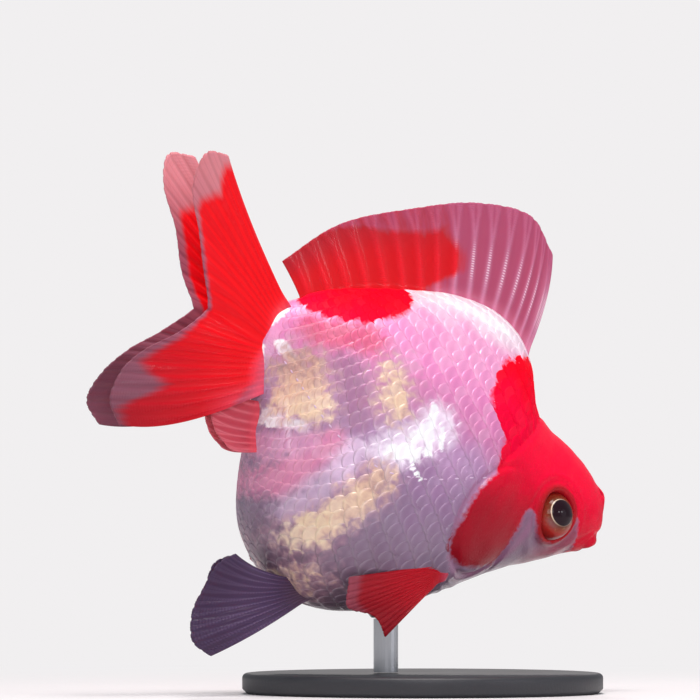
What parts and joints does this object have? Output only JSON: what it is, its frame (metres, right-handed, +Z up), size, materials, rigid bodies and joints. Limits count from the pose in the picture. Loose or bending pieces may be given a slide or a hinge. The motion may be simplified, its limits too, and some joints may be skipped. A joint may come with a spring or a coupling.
{
  "type": "ryukin goldfish model",
  "caption": "Life-size still model of a swimming short-tailed goldfish with a deep round body, high back, single back fin and double tail, held on a plain stand.",
  "frame": {"origin": "centre of the stand's flat underside", "axes": "+X the way the fish heads, +Y to the fish's left, +Z up"},
  "size_m": [0.1355, 0.088, 0.1318],
  "materials": {
    "red_skin": "wet gloss",
    "pearl_skin": "wet pearl gloss",
    "red_fin": "satin",
    "clear_fin": "translucent satin",
    "eye": "polished",
    "stand_paint": "satin powder coat",
    "stand_steel": "brushed"
  },
  "bodies": {
    "root": {"head": "red_skin", "upper_jaw": "red_skin", "lower_jaw": "pearl_skin", "gill_cover_left": "red_skin", "gill_cover_right": "red_skin", "eye_left": "eye", "eye_right": "eye", "shoulder": "pearl_skin", "breast": "pearl_skin", "back": "pearl_skin", "belly": "pearl_skin", "tail_stem": "pearl_skin", "dorsal_fin": "red_fin", "upper_tail_fin_left": "red_fin", "upper_tail_fin_right": "red_fin", "lower_tail_fin_left": "red_fin", "lower_tail_fin_right": "red_fin", "anal_fin_left": "clear_fin", "anal_fin_right": "clear_fin", "pelvic_fin_left": "clear_fin", "pelvic_fin_right": "clear_fin", "pectoral_fin_left": "red_fin", "pectoral_fin_right": "red_fin", "stand_base": "stand_paint", "stand_rod": "stand_steel", "stand_pad": "stand_steel"}
  },
  "joints": []
}
